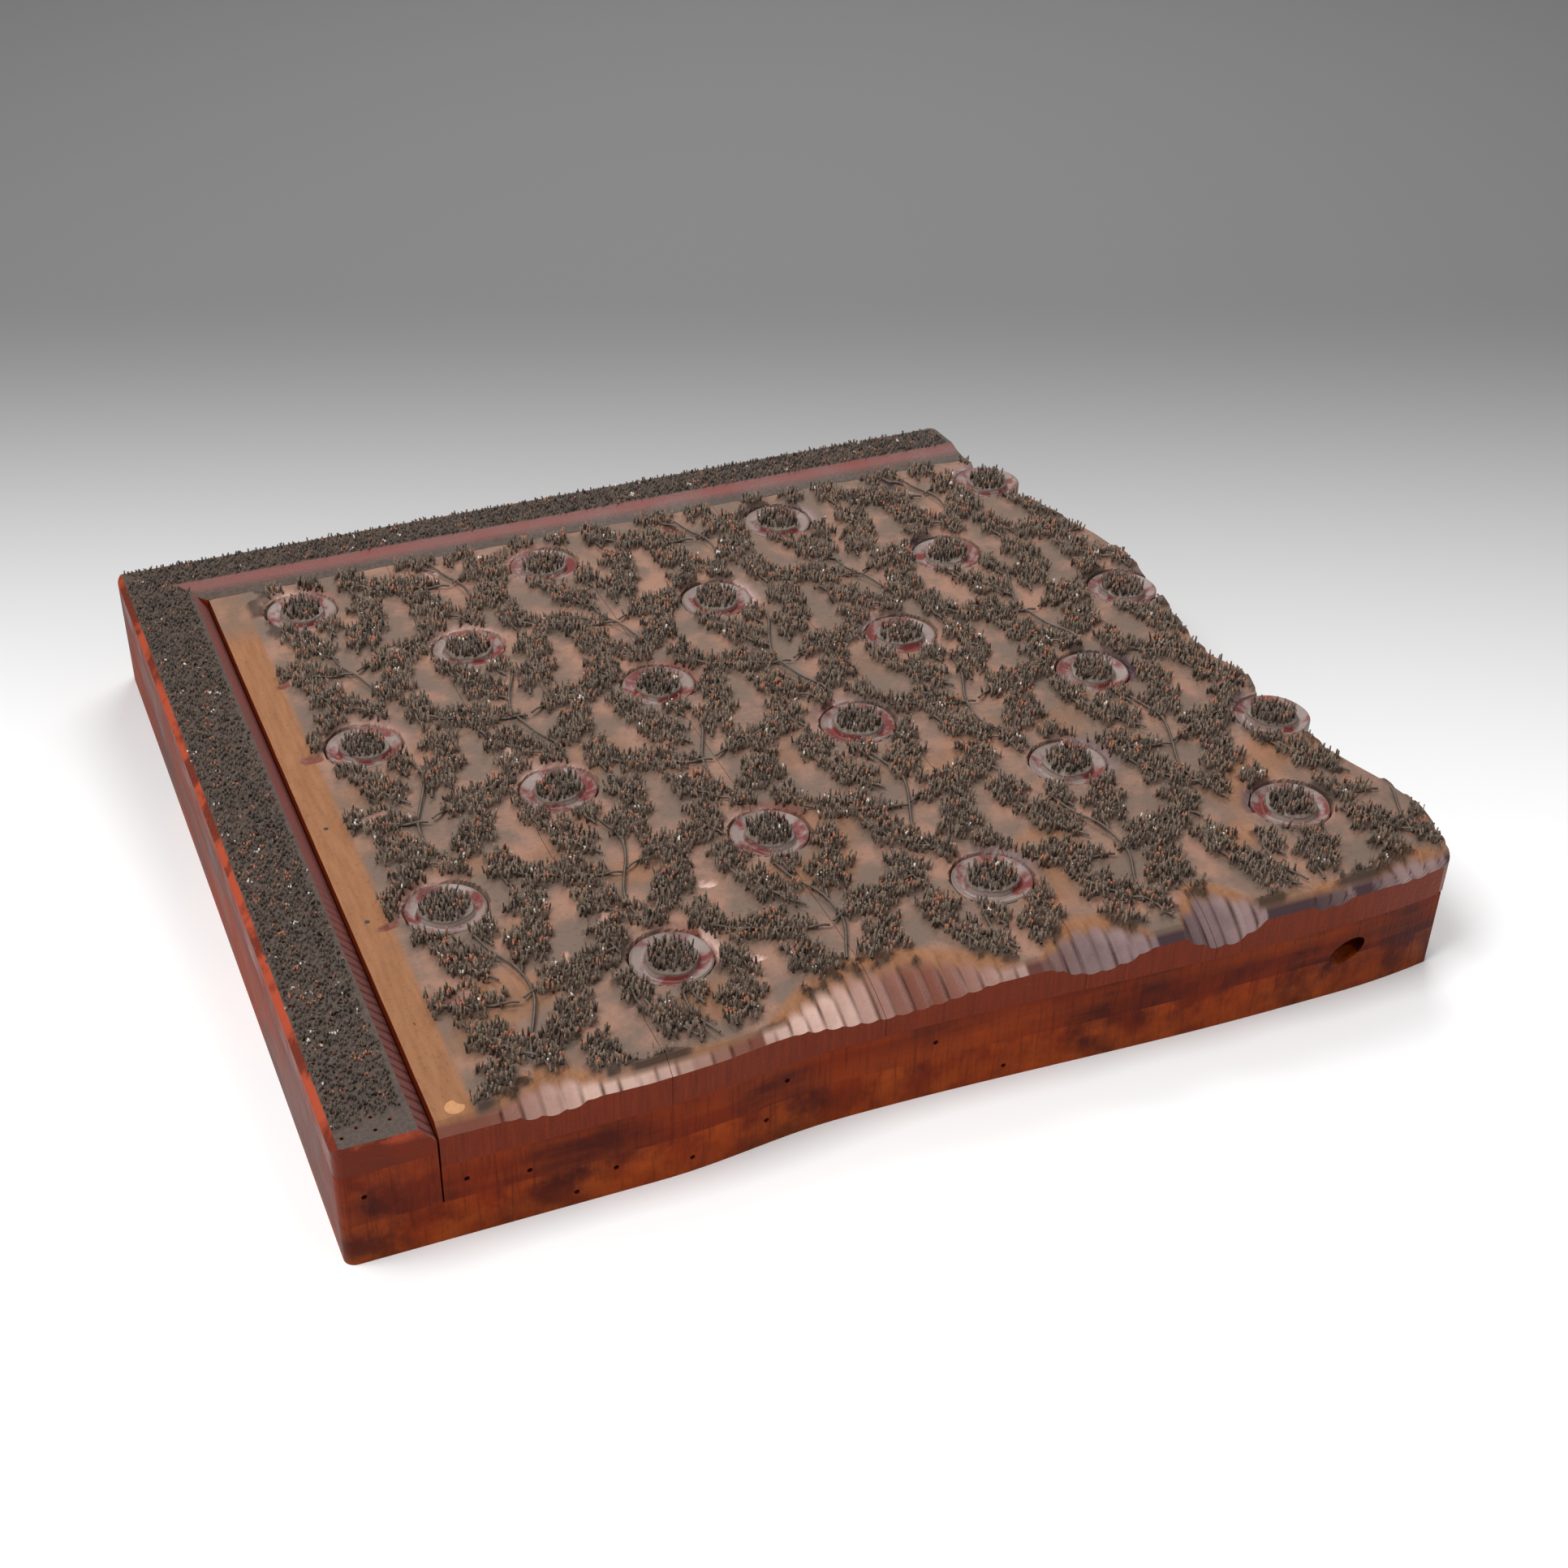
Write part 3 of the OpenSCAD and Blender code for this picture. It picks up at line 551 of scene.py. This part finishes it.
def turned_plug_wood():
    """Turned pear wood: maroon stain caught in the ring, rubbed pale beside it, and the island black."""
    wood, shader = new_material("turned_plug_wood")
    place = add(wood, "ShaderNodeTexCoord").outputs["Object"]
    height = add(wood, "ShaderNodeSeparateXYZ", {0: place}).outputs["Z"]
    clouds = add(wood, "ShaderNodeTexNoise",
                 {"Vector": place, "Scale": per(13.33), "Detail": 5, "Roughness": 0.6})
    fine = add(wood, "ShaderNodeTexNoise",
               {"Vector": place, "Scale": per(2.083), "Detail": 4, "Roughness": 0.7})
    stain = add(wood, "ShaderNodeMapRange", {"Value": clouds, "From Min": 0.45, "From Max": 0.56})
    ring = add(wood, "ShaderNodeMix", {0: stain, 6: srgb("8b7a74"), 7: srgb("6e2b27")},
               data_type="RGBA").outputs[2]
    island = add(wood, "ShaderNodeMix", {0: fine, 6: srgb("453931"), 7: srgb("7d6c60")},
                 data_type="RGBA").outputs[2]
    on_top = add(wood, "ShaderNodeMapRange", {"Value": height, "From Min": (GROUND_Z - 1.2) * MM,
                                              "From Max": (GROUND_Z - 0.5) * MM})
    colour = add(wood, "ShaderNodeMix", {0: on_top, 6: ring, 7: island}, data_type="RGBA").outputs[2]
    rough = add(wood, "ShaderNodeMapRange", {"Value": clouds, "To Min": 0.3, "To Max": 0.7})
    connect(wood, shader, colour, rough, fine, 0.35)
    return wood


def caked_wire(name, dark, light, tip_z, worn_share):
    """Iron wire caked with dried colour: a share of the tips is rubbed orange, and a few tips are painted
    near white as highlights.
    """
    wire, shader = new_material(name)
    place = add(wire, "ShaderNodeTexCoord").outputs["Object"]
    height = add(wire, "ShaderNodeSeparateXYZ", {0: place}).outputs["Z"]
    # A cell is a little wider than the space between pins, so that most pins get a chance of their own
    cells = add(wire, "ShaderNodeTexVoronoi", {"Vector": place, "Scale": per(3.03)})
    chance = add(wire, "ShaderNodeSeparateColor", {0: cells.outputs["Color"]})
    clouds = add(wire, "ShaderNodeTexNoise", {"Vector": place, "Scale": per(35.71), "Detail": 4})
    caked = add(wire, "ShaderNodeMix", {0: chance.outputs["Green"], 6: srgb(dark), 7: srgb(light)},
                data_type="RGBA").outputs[2]
    at_tip = add(wire, "ShaderNodeMapRange",
                 {"Value": height, "From Min": (tip_z - 1.2) * MM, "From Max": tip_z * MM})
    chosen = add(wire, "ShaderNodeMath",
                 {0: chance.outputs["Red"], 1: 1 - worn_share}, operation="GREATER_THAN")
    worn = add(wire, "ShaderNodeMath", {0: at_tip, 1: chosen}, operation="MULTIPLY")
    patchy = add(wire, "ShaderNodeMath", {0: worn, 1: clouds}, operation="MULTIPLY")
    orange_share = add(wire, "ShaderNodeMath", {0: patchy, 1: 1.9}, operation="MULTIPLY", use_clamp=True)
    tipped = add(wire, "ShaderNodeMix", {0: orange_share, 6: caked, 7: srgb("a5664a")}, data_type="RGBA").outputs[2]
    # Painted highlight: a few pin tips, picked by chance, are painted near white as glints.
    glint_chosen = add(wire, "ShaderNodeMath", {0: chance.outputs["Blue"], 1: 0.985}, operation="GREATER_THAN")
    painted_glint = add(wire, "ShaderNodeMath", {0: glint_chosen, 1: at_tip}, operation="MULTIPLY")
    colour = add(wire, "ShaderNodeMix", {0: painted_glint, 6: tipped, 7: srgb("d8cfc4")},
                 data_type="RGBA").outputs[2]
    rough = add(wire, "ShaderNodeMapRange", {"Value": chance.outputs["Green"], "To Min": 0.4, "To Max": 0.8})
    connect(wire, shader, colour, rough, clouds, 0.2)
    shader.inputs["Metallic"].default_value = 0.15
    return wire


def mottled_fitting(name, dark, light, mottle_size, metallic, roughness):
    """A small fitting of one stuff, mottled between two tones by rust, wax or dried colour."""
    stuff, shader = new_material(name)
    place = add(stuff, "ShaderNodeTexCoord").outputs["Object"]
    mottle = add(stuff, "ShaderNodeTexNoise", {"Vector": place, "Scale": per(mottle_size), "Detail": 5})
    colour = add(stuff, "ShaderNodeMix", {0: mottle, 6: srgb(dark), 7: srgb(light)},
                 data_type="RGBA").outputs[2]
    rough = add(stuff, "ShaderNodeMapRange",
                {"Value": mottle, "To Min": roughness - 0.15, "To Max": roughness + 0.15})
    connect(stuff, shader, colour, rough, mottle, 0.2)
    shader.inputs["Metallic"].default_value = metallic
    return stuff


# The carved face, board by board
def face_grid(x0, x1, last):
    """A grid for one board, with the place of each of its points and whether that is under the back rail."""
    rows = round(FIELD_BACK / GRID)
    all_rows = rows + len(BACK_ROWS)
    bpy.ops.object.select_all(action="DESELECT")
    bpy.ops.mesh.primitive_grid_add(x_subdivisions=round((x1 - x0) / GRID), y_subdivisions=all_rows, size=1)
    piece = bpy.context.object
    points = points_of(piece.data)
    across = points[:, 0] + 0.5
    row = np.rint((points[:, 1] + 0.5) * all_rows).astype(int)
    under_rail = row > rows
    back_y = np.array(BACK_ROWS)[np.clip(row - rows - 1, 0, len(BACK_ROWS) - 1)]
    x = x0 + BOARD_GAP + across * (x1 - x0 - 2 * BOARD_GAP)
    # The right end of a row needs its y and the front end of a column its x, so both are found in turn
    for _ in range(3):
        front = front_y(x)
        y = np.where(under_rail, back_y, front + row / rows * (FIELD_BACK - front))
        if last:
            corners = rounding(FRONT_CORNER_R, FRONT_CORNER_R - y + front)
            corners += rounding(BACK_CORNER_R, BACK_CORNER_R - BLOCK_D + y)
            x = x0 + BOARD_GAP + across * (right_x(y) - corners - x0 - BOARD_GAP)
    return piece, x, y, under_rail


def face_board(number, x0, x1, material):
    """One face board: a grid carved to its heights, and walled down to its seat on the core boards."""
    piece, x, y, under_rail = face_grid(x0, x1, number > len(FACE_JOINTS))
    piece.name = f"carved_face_board_{number}"
    z, spreads = carved_face(x, y)
    place_points(piece.data, x, y, np.where(under_rail, SEAT_Z, z))
    for name, values in spreads.items():
        layer = piece.data.attributes.new(name, "FLOAT", "POINT")
        layer.data.foreach_set("value", values.astype(np.float32))
    select_only(piece)
    bpy.ops.object.mode_set(mode="EDIT")
    bpy.ops.mesh.select_all(action="SELECT")
    bpy.ops.mesh.region_to_loop()
    bpy.ops.mesh.extrude_edges_move(TRANSFORM_OT_translate={"value": (0, 0, -1 * MM)})
    bpy.ops.transform.resize(value=(1, 1, 0), center_override=(0, 0, FACE_Z * MM))
    bpy.ops.mesh.edge_face_add()
    bpy.ops.mesh.select_all(action="SELECT")
    bpy.ops.mesh.normals_make_consistent(inside=False)
    bpy.ops.object.mode_set(mode="OBJECT")
    fit_piece(piece, f"face_board_{number}", material)


# Turned plugs
def turned_plug():
    """One plug, with its section spun round its axis."""
    mesh = bpy.data.meshes.new("turned_plug")
    section = [(radius * MM, 0, (GROUND_Z + height) * MM) for radius, height in PLUG_PROFILE]
    mesh.from_pydata(section, [(i, i + 1) for i in range(len(section) - 1)], [])
    model = link_piece("turned_plug", mesh)
    select_only(model)
    bpy.ops.object.mode_set(mode="EDIT")
    bpy.ops.mesh.select_all(action="SELECT")
    bpy.ops.mesh.spin(steps=64, angle=2 * math.pi, center=(0, 0, 0), axis=(0, 0, 1))
    bpy.ops.mesh.select_all(action="SELECT")
    bpy.ops.mesh.remove_doubles(threshold=0.01 * MM)
    bpy.ops.mesh.normals_make_consistent(inside=False)
    bpy.ops.object.mode_set(mode="OBJECT")
    return model


def island_squeeze(index, turn):
    """How much of its radius a plug's island has lost in a direction: each is cut to its own almond shape."""
    return (0.10 + 0.05 * math.sin(index * 3.1)) * np.cos(turn - index * 1.9) ** 2


def carved_plug(index, middle, model, material):
    """A copy of the turned plug, its island and ring made a little uneven by the gouge."""
    piece = link_piece(f"carved_plug_{index + 1}", model.data.copy())
    x, y, z = (points_of(piece.data) / MM).T
    radius, turn = np.hypot(x, y), np.arctan2(y, x)
    worked = ramp(radius - 5, 5) * ramp(18 - radius, 2)
    pull = 1 - worked * (island_squeeze(index, turn) + 0.03 * np.sin(turn * 5 + index))
    ripple = 0.18 * np.sin(turn * 3 + index) * ramp(radius, 12)
    z = z + np.where(z > GROUND_Z - 4, ripple, 0)
    place_points(piece.data, x * pull + middle[0], y * pull + middle[1], z)
    fit_piece(piece, f"plug_{index + 1}", material)
    select_only(piece)
    bpy.ops.object.shade_smooth_by_angle(angle=math.radians(35))


# Pins
def driven_pin(length):
    """One pin in millimetres, standing down from 0: a five-sided wire with its tip filed a little slant."""
    bpy.ops.object.select_all(action="DESELECT")
    bpy.ops.mesh.primitive_cone_add(vertices=5, radius1=PIN_ROOT_R, radius2=PIN_TIP_R, depth=length,
                                    location=(0, 0, -length / 2))
    model = bpy.context.object
    bpy.ops.object.transform_apply(location=True, rotation=True, scale=True)
    for vertex in model.data.vertices:
        if vertex.co.z > -0.1:
            vertex.co.z -= 0.35 + 0.5 * vertex.co.x
    return model


def pin_grid(x0, x1, y0, y1, pitch, seed):
    """A staggered grid of places, each moved a little off its point."""
    wander = 0.24 * pitch
    rise = pitch * math.sin(math.radians(60))
    across, up = np.meshgrid(np.arange(x0, x1, pitch), np.arange(y0, y1, rise))
    shift = (np.arange(len(up)) % 2)[:, None] * pitch / 2
    chance = np.random.default_rng(seed)
    x = (across + shift).ravel() + chance.normal(0, wander, across.size)
    y = up.ravel() + chance.normal(0, wander, across.size)
    return x, y


def planted(name, model, places, top, sink, lean, seed):
    """A mesh of copies of a pin, each turned, leaned, thickened and sunk below the top by chance."""
    chance = np.random.default_rng(seed)
    place_x, place_y = places
    count = len(place_x)
    shape = np.array([vertex.co for vertex in model.data.vertices])
    turn = chance.uniform(0, 2 * np.pi, count)
    lean_x, lean_y = chance.normal(0, lean, count), chance.normal(0, lean, count)
    width = chance.uniform(0.8, 1.25, count)[:, None]
    tops = top - sink * chance.uniform(0, 1, count) ** 1.5
    c, s = np.cos(turn)[:, None], np.sin(turn)[:, None]
    above_root = (shape[:, 2] - shape[:, 2].min())[None, :]
    x = (shape[:, 0] * c - shape[:, 1] * s) * width + lean_x[:, None] * above_root + place_x[:, None]
    y = (shape[:, 0] * s + shape[:, 1] * c) * width + lean_y[:, None] * above_root + place_y[:, None]
    z = shape[:, 2][None, :] + tops[:, None]

    faces = [np.array(polygon.vertices) for polygon in model.data.polygons]
    corners = np.concatenate(faces)
    sizes = np.tile([len(face) for face in faces], count)
    first_points = np.repeat(np.arange(count) * len(shape), len(corners))
    mesh = bpy.data.meshes.new(name)
    mesh.vertices.add(count * len(shape))
    place_points(mesh, x, y, z)
    mesh.loops.add(count * len(corners))
    mesh.loops.foreach_set("vertex_index", (np.tile(corners, count) + first_points).astype(np.int32))
    mesh.polygons.add(len(sizes))
    mesh.polygons.foreach_set("loop_start", np.concatenate([[0], np.cumsum(sizes)[:-1]]).astype(np.int32))
    mesh.update(calc_edges=True)
    mesh.validate()
    return link_piece(name, mesh)


def in_field(x, y, side, front, back):
    """Where the printing field is free for pins and ribs, with so much room to each edge."""
    away, _ = nearest_plug(x, y)
    inside = (away > PLUG_R + 3) & (x > FIELD_X) & (x < right_x(y) - side)
    inside &= (y > front_y(x) + front) & (y < FIELD_BACK - back)
    return inside & ~((x < BARE_CORNER_X) & (y > BARE_CORNER_Y))


def field_pins(material):
    """Pins of the leaves, one mesh for each face board."""
    model = driven_pin(length=7.4)
    x, y = pin_grid(FIELD_X, BLOCK_W, 4, FIELD_BACK + 2, PIN_PITCH, seed=21)
    keep = in_field(x, y, side=2.5, front=3.5, back=1.5) & (leaf_cover(x, y) > -0.03)
    keep &= (front_flutes(x, y)[0] < 0.05) & (front_flutes(x, y - 2.5)[0] < 0.05) & (gouge_marks(x, y) < 0.05)
    x, y = x[keep], y[keep]
    board = np.digitize(x, FACE_JOINTS, right=True)
    for index in range(len(FACE_JOINTS) + 1):
        here = board == index
        piece = planted(f"leaf_pin_field_{index + 1}", model, (x[here], y[here]), PRINT_Z,
                        sink=2.4, lean=0.12, seed=31 + index)
        fit_piece(piece, f"leaf_pins_{index + 1}", material)
    bpy.data.objects.remove(model)


def rail_pins(material):
    """The dense stipple of the two rails, mitred where they meet, with the front end left bare."""
    model = driven_pin(length=4.2)
    rail_top = PRINT_Z - 0.5
    x, y = pin_grid(3, RAIL_FLAT + 0.5, 9, 488, PIN_PITCH, seed=22)
    keep = (y < BLOCK_D - x) & (x < RAIL_FLAT) & (x > RAIL_MARGIN) & (y > 10 + 0.2 * x)
    piece = planted("left_rail_stipple", model, (x[keep], y[keep]), rail_top, sink=1.2, lean=0.18, seed=41)
    fit_piece(piece, "left_rail_pins", material)
    x, y = pin_grid(3, 535, FIELD_BACK + COVE_W + 1.5, BLOCK_D - 3, PIN_PITCH, seed=23)
    keep = (y > BLOCK_D - x) & (x < right_x(y) - 3.5) & (y < BLOCK_D - 3.5)
    piece = planted("back_rail_stipple", model, (x[keep], y[keep]), rail_top, sink=1.2, lean=0.18, seed=42)
    fit_piece(piece, "back_rail_pins", material)
    bpy.data.objects.remove(model)


def plug_pins(material):
    """The cluster on each plug, which fills its uneven island."""
    model = driven_pin(length=7.2)
    span = 12
    places = []
    for index, (cx, cy) in enumerate(PLUGS):
        x, y = pin_grid(cx - span, cx + span, cy - span, cy + span, PLUG_PIN_PITCH, seed=50 + index)
        reach = 11.6 * (1 - island_squeeze(index, np.arctan2(y - cy, x - cx)))
        keep = np.hypot(x - cx, y - cy) < reach
        places.append((x[keep], y[keep]))
    piece = planted("plug_pin_field", model, np.concatenate(places, axis=1), PRINT_Z - 0.6,
                    sink=1.6, lean=0.12, seed=43)
    fit_piece(piece, "plug_pins", material)
    bpy.data.objects.remove(model)


def rib_paths():
    """The stem of each sprig, and the bowed middle rib of each of its leaves."""
    t = np.linspace(0, 1, 24)
    for sprig_x, sprig_y, row in SPRIGS:
        yield sprig_x + STEM_SWAY * np.sin(t * 5.5 + row), sprig_y - STEM_HALF + 2 * STEM_HALF * t
        for leaf_x, leaf_y, angle, length, _ in LEAVES:
            c, s = math.cos(math.radians(angle)), math.sin(math.radians(angle))
            along, bow = (t - 0.55) * length * 1.1, RIB_BOW * np.sin(np.pi * t)
            yield sprig_x + leaf_x + along * c - bow * s, sprig_y + leaf_y + along * s + bow * c


def stem_ribs(material):
    """Stems and leaf ribs, low between the pins. A stretch that meets a cut or a plug is left out."""
    curve = bpy.data.curves.new("stem_ribs", "CURVE")
    curve.dimensions = "3D"
    curve.bevel_depth = RIB_R * MM
    curve.bevel_resolution = 0
    for x, y in rib_paths():
        keep = in_field(x, y, side=4, front=5, back=4) & (front_flutes(x, y - 3)[0] < 0.05)
        z = GROUND_Z + RIB_LIFT + 0.6 * np.sin(np.arange(len(x)) * 0.9)
        path = np.stack([x - BLOCK_W / 2, y - BLOCK_D / 2, z], axis=1) * MM
        breaks = np.flatnonzero(np.diff(keep.astype(int))) + 1
        for run in np.split(np.arange(len(x)), breaks):
            if len(run) < 4 or not keep[run[0]]:
                continue
            spline = curve.splines.new("POLY")
            spline.points.add(len(run) - 1)
            for point, spot in zip(spline.points, path[run]):
                point.co = (*spot, 1)
    piece = link_piece("stem_ribs", curve)
    select_only(piece)
    bpy.ops.object.convert(target="MESH")
    fit_piece(bpy.context.object, "stem_strips", material)


# Floor, lamps and camera
# Each lamp's name, place in metres, width and power
LAMPS = [("key", (-1.0, -0.2, 2.1), 1.2, 44),
         ("back", (0.7, 1.3, 1.7), 1.1, 26),
         ("fill", (1.5, -1.6, 1.2), 1.6, 3)]
WORLD_LEVEL = 0.36
# Painted shade: the paper is painted from white near the camera to grey far away, where less light reaches
# it. Where that starts and ends, in metres along the way that the camera looks
LOOK_ALONG = (0.3675, 0.93, 0)
PAINTED_SHADE_FROM = -1.745
PAINTED_SHADE_TO = -0.695


def studio():
    """A sheet of studio paper with painted shade that greys it far from the camera, three soft lamps and an
    even white world.
    """
    bpy.ops.object.select_all(action="DESELECT")
    bpy.ops.mesh.primitive_plane_add(size=14, location=(0, 1.5, 0))
    floor = bpy.context.object
    floor.name = "studio_floor"
    paper, shader = new_material("studio_paper")
    place = add(paper, "ShaderNodeTexCoord").outputs["Object"]
    ahead = add(paper, "ShaderNodeVectorMath",
                {0: place, 1: LOOK_ALONG}, operation="DOT_PRODUCT").outputs["Value"]
    painted_shade_share = add(paper, "ShaderNodeMapRange", {"Value": ahead, "From Min": PAINTED_SHADE_FROM, "From Max": PAINTED_SHADE_TO},
               interpolation_type="SMOOTHSTEP")
    # Painted shade: grey is mixed into the paper's colour the further it lies from the camera.
    colour = add(paper, "ShaderNodeMix", {0: painted_shade_share, 6: srgb("fdfdfd"), 7: srgb("6c6c6c")},
                 data_type="RGBA").outputs[2]
    paper.node_tree.links.new(colour, shader.inputs["Base Color"])
    shader.inputs["Roughness"].default_value = 0.9
    give_finish(floor, paper)
    world = bpy.data.worlds.new("studio")
    world.use_nodes = True
    background = world.node_tree.nodes["Background"]
    background.inputs["Color"].default_value = (1, 1, 1, 1)
    background.inputs["Strength"].default_value = WORLD_LEVEL
    bpy.context.scene.world = world
    block = Vector((0, 0, 30 * MM))
    for name, spot, size, power in LAMPS:
        lamp = bpy.data.lights.new(name, "AREA")
        lamp.size = size
        lamp.energy = power
        holder = link_piece(name, lamp)
        holder.location = spot
        holder.rotation_euler = (block - Vector(spot)).to_track_quat("-Z", "Y").to_euler()


def camera():
    """The photograph's viewpoint, fitted to the block's corners."""
    right = Vector((0.9301, -0.3672, 0.0004))
    forward = Vector((0.2944, 0.7449, -0.5988))
    turn = Matrix((right, right.cross(forward), -forward)).transposed()
    spot = Vector((-99.1 - BLOCK_W / 2, -655.4 - BLOCK_D / 2, 691.1)) * MM
    lens = bpy.data.cameras.new("photo_view")
    lens.lens = 51.67
    lens.sensor_width = 36
    lens.shift_x = 0.0497
    lens.shift_y = 0.0518
    holder = link_piece("photo_view", lens)
    holder.matrix_world = Matrix.Translation(spot) @ turn.to_4x4()
    bpy.context.scene.camera = holder


camera()
studio()
bpy.context.scene.view_settings.view_transform = "Standard"

# The CAD's own boards and fittings. The grain of the core boards lies across the block, and that of the
# others runs front to back.
rail_wood = stained_rail()
core_wood = stained_board("stained_core_board", (0.12, 1, 1), "3f0d03", "762607", "9c4010")
back_wood = stained_board("stained_back_board", (1, 0.12, 1), "451003", "812a07", "ac4c12")
CAD_FINISHES = {
    "core_board_front": core_wood,
    "core_board_middle": core_wood,
    "core_board_back": core_wood,
    "back_board_left": back_wood,
    "back_board_middle": back_wood,
    "back_board_right": back_wood,
    "left_cleat": stained_board("stained_cleat", (1, 0.1, 1), "3c0e05", "72240a", "9b4116"),
    "left_rail": rail_wood,
    "back_rail": rail_wood,
    "filling_peg": mottled_fitting("waxed_boxwood_peg", "8d561f", "c38540",
                                   mottle_size=3.333, metallic=0, roughness=0.4),
    "margin_brads": mottled_fitting("rusted_iron_brad", "1f1a17", "4a3d36",
                                    mottle_size=1.667, metallic=0.5, roughness=0.6),
    "front_brads": mottled_fitting("rusted_iron_brad_end", "17120f", "3d322c",
                                   mottle_size=1.667, metallic=0.5, roughness=0.6),
}
for name, material in CAD_FINISHES.items():
    give_finish(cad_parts[name], material)

pear_wood = carved_pear_wood()
edges = [RAIL_W + CRACK] + FACE_JOINTS + [BLOCK_W]
for number, (left, right) in enumerate(zip(edges, edges[1:]), start=1):
    face_board(number, left, right, pear_wood)
plug_wood = turned_plug_wood()
plug_model = turned_plug()
for index, middle in enumerate(PLUGS):
    carved_plug(index, middle, plug_model, plug_wood)
bpy.data.objects.remove(plug_model)
stem_ribs(mottled_fitting("blackened_brass_strip", "2f2721", "76685b",
                          mottle_size=4.167, metallic=0.3, roughness=0.6))
field_pins(caked_wire("blackened_leaf_pins", "3b3028", "867363", tip_z=67.6, worn_share=0.16))
rail_pins(caked_wire("blackened_rail_pins", "281f19", "65564a", tip_z=67.6, worn_share=0.05))
plug_pins(caked_wire("blackened_plug_pins", "332922", "78675a", tip_z=67.0, worn_share=0.16))
